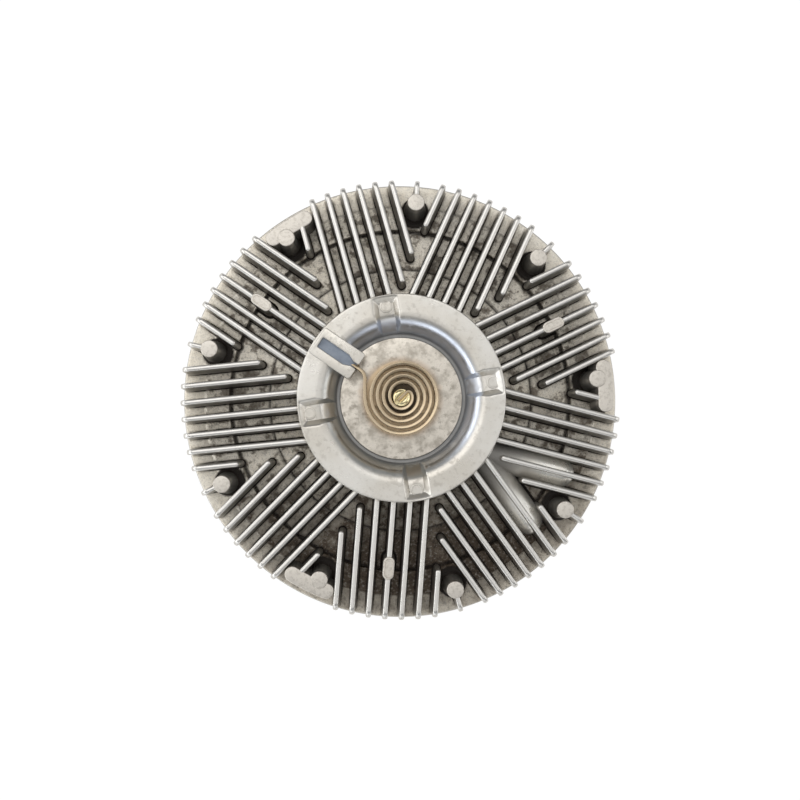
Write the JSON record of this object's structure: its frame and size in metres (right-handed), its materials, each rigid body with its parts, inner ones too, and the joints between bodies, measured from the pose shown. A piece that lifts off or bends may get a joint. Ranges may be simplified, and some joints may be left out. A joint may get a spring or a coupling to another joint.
{
  "type": "viscous fan clutch",
  "caption": "Round finned viscous fan clutch with a bimetal coil in its front recess, a raised reservoir ring, fan bosses behind and a threaded hexagon drive nut.",
  "frame": {"origin": "centre of the rear face of the drive nut, which the clutch stands on", "axes": "+Z along the shaft from the drive nut to the finned front cover, +Y up in the front view"},
  "size_m": [0.216, 0.216, 0.0968],
  "materials": {
    "cast_front": "as cast, stained",
    "cast_rear": "as cast",
    "screw_zinc": "zinc plated",
    "shaft_steel": "turned",
    "rotor_alloy": "machined",
    "bearing_steel": "ground",
    "cage_brass": "machined",
    "seal_rubber": "matt",
    "plate_steel": "rolled",
    "valve_yellow": "yellow passivated",
    "bimetal": "heat-tinted strip",
    "bond": "smooth cured compound",
    "wiper": "moulded"
  },
  "bodies": {
    "drive": {"drive_shaft": "shaft_steel", "rotor": "rotor_alloy", "bearing_inner_race": "bearing_steel"},
    "housing": {"front_cover": "cast_front", "rear_housing": "cast_rear", "cover_screws": "screw_zinc", "cover_seal": "seal_rubber", "bearing_outer_race": "bearing_steel", "bearing_seal_front": "seal_rubber", "bearing_seal_rear": "seal_rubber", "valve_plate": "plate_steel", "valve_plate_rivets": "plate_steel", "bimetal_coil": "bimetal", "coil_bond": "bond", "pump_wiper": "wiper"},
    "cage": {"bearing_cage": "cage_brass", "bearing_balls": "bearing_steel"},
    "valve": {"valve_shaft": "valve_yellow", "valve_arm": "plate_steel", "valve_shaft_oring": "seal_rubber"}
  },
  "joints": [
    {"name": "housing_spin", "type": "hinge", "parent": "drive", "child": "housing", "pos_m": [0, 0, 0.041], "axis": [0, 0, 1], "continuous": true},
    {"name": "cage_spin", "type": "hinge", "parent": "drive", "child": "cage", "pos_m": [0, 0, 0.041], "axis": [0, 0, 1], "continuous": true},
    {"name": "valve_turn", "type": "hinge", "parent": "housing", "child": "valve", "pos_m": [0, 0, 0.085], "axis": [0, 0, 1], "range_deg": [0, 35], "stiffness_Nm_per_rad": 0.05, "deforming": ["bimetal_coil"]}
  ],
  "couplings": [
    {"joint": "cage_spin", "follows": "housing_spin", "ratio": 0.6033}
  ]
}
